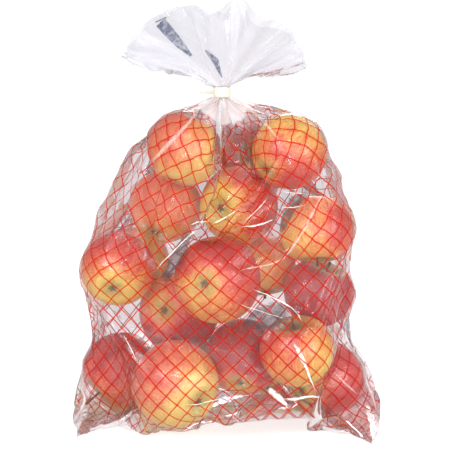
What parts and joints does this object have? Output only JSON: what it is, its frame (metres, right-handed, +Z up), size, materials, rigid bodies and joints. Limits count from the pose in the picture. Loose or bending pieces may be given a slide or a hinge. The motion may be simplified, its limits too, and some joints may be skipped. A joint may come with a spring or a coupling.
{
  "type": "mesh produce bag",
  "caption": "Upright clear film produce bag with a printed red diamond net, gathered and twist-tied at the neck under a flared ruff, and filled with loose red and yellow apples.",
  "frame": {"origin": "on the floor under the tied neck, inside the bag's flat base patch", "axes": "+Z up towards the neck, -Y towards the front panel, +X to the right seen from the front"},
  "size_m": [0.2346, 0.168, 0.334],
  "materials": {
    "bag_film": "clear glossy polyethylene film, milky where it is gathered",
    "net_ink": "red ink printed on the film as a diamond net",
    "mark_ink": "dark translucent ink of a plain printed strip",
    "apple_skin": "waxed apple skin, red blush over yellow ground",
    "apple_stem": "dry matt brown stem and dark calyx",
    "tie": "cream paper twist tie, matt"
  },
  "bodies": {
    "filled_bag": {"bag_film": "bag_film", "bag_ruff": "bag_film", "bag_ear_left": "bag_film", "bag_ear_right": "bag_film", "tie_band": "tie", "apple_01": "apple_skin", "apple_02": "apple_skin", "apple_03": "apple_skin", "apple_04": "apple_skin", "apple_05": "apple_skin", "apple_06": "apple_skin", "apple_07": "apple_skin", "apple_08": "apple_skin", "apple_09": "apple_skin", "apple_10": "apple_skin", "apple_11": "apple_skin", "apple_12": "apple_skin", "apple_13": "apple_skin", "apple_14": "apple_skin", "apple_15": "apple_skin", "apple_16": "apple_skin", "apple_17": "apple_skin", "apple_18": "apple_skin", "apple_19": "apple_skin", "apple_20": "apple_skin", "apple_21": "apple_skin", "apple_01_stem": "apple_stem", "apple_02_stem": "apple_stem", "apple_03_stem": "apple_stem", "apple_04_stem": "apple_stem", "apple_05_stem": "apple_stem", "apple_06_stem": "apple_stem", "apple_07_stem": "apple_stem", "apple_08_stem": "apple_stem", "apple_09_stem": "apple_stem", "apple_10_stem": "apple_stem", "apple_11_stem": "apple_stem", "apple_12_stem": "apple_stem", "apple_13_stem": "apple_stem", "apple_14_stem": "apple_stem", "apple_15_stem": "apple_stem", "apple_16_stem": "apple_stem", "apple_17_stem": "apple_stem", "apple_18_stem": "apple_stem", "apple_19_stem": "apple_stem", "apple_20_stem": "apple_stem", "apple_21_stem": "apple_stem"},
    "twist_ends": {"tie_twist": "tie"}
  },
  "joints": [
    {"name": "tie_untwist", "type": "hinge", "parent": "filled_bag", "child": "twist_ends", "pos_m": [-0.0071, 0, 0.2636], "axis": [-1, 0, 0], "range_deg": [-540, 0]}
  ]
}
